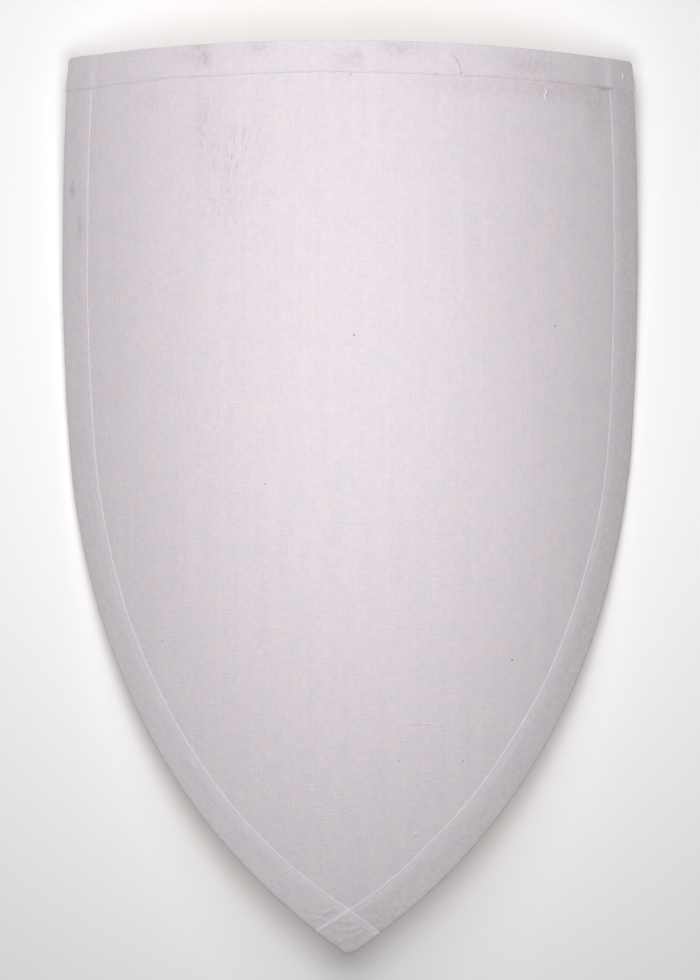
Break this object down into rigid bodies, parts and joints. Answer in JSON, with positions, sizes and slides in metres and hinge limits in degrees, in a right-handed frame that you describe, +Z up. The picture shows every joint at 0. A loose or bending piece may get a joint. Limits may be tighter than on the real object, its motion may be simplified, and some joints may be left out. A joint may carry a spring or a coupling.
{
  "type": "heater shield",
  "caption": "Blank heater shield: a bent plywood board faced with white primed canvas, its edges bound with folded canvas strips. It lies face up on its long edges.",
  "frame": {"origin": "centre of the lying shield's footprint, on the surface that it lies on", "axes": "+Z up, out of the shield's front; +Y from the tip to the top edge; +X to the right of someone who looks at its front"},
  "size_m": [0.5766, 0.8784, 0.1213],
  "materials": {
    "plywood": "bare birch veneer",
    "primed_canvas": "matt white primer on a plain weave"
  },
  "bodies": {
    "root": {"board": "plywood", "canvas_face": "primed_canvas", "right_edge_strip": "primed_canvas", "left_edge_strip": "primed_canvas", "top_edge_strip": "primed_canvas"}
  },
  "joints": []
}
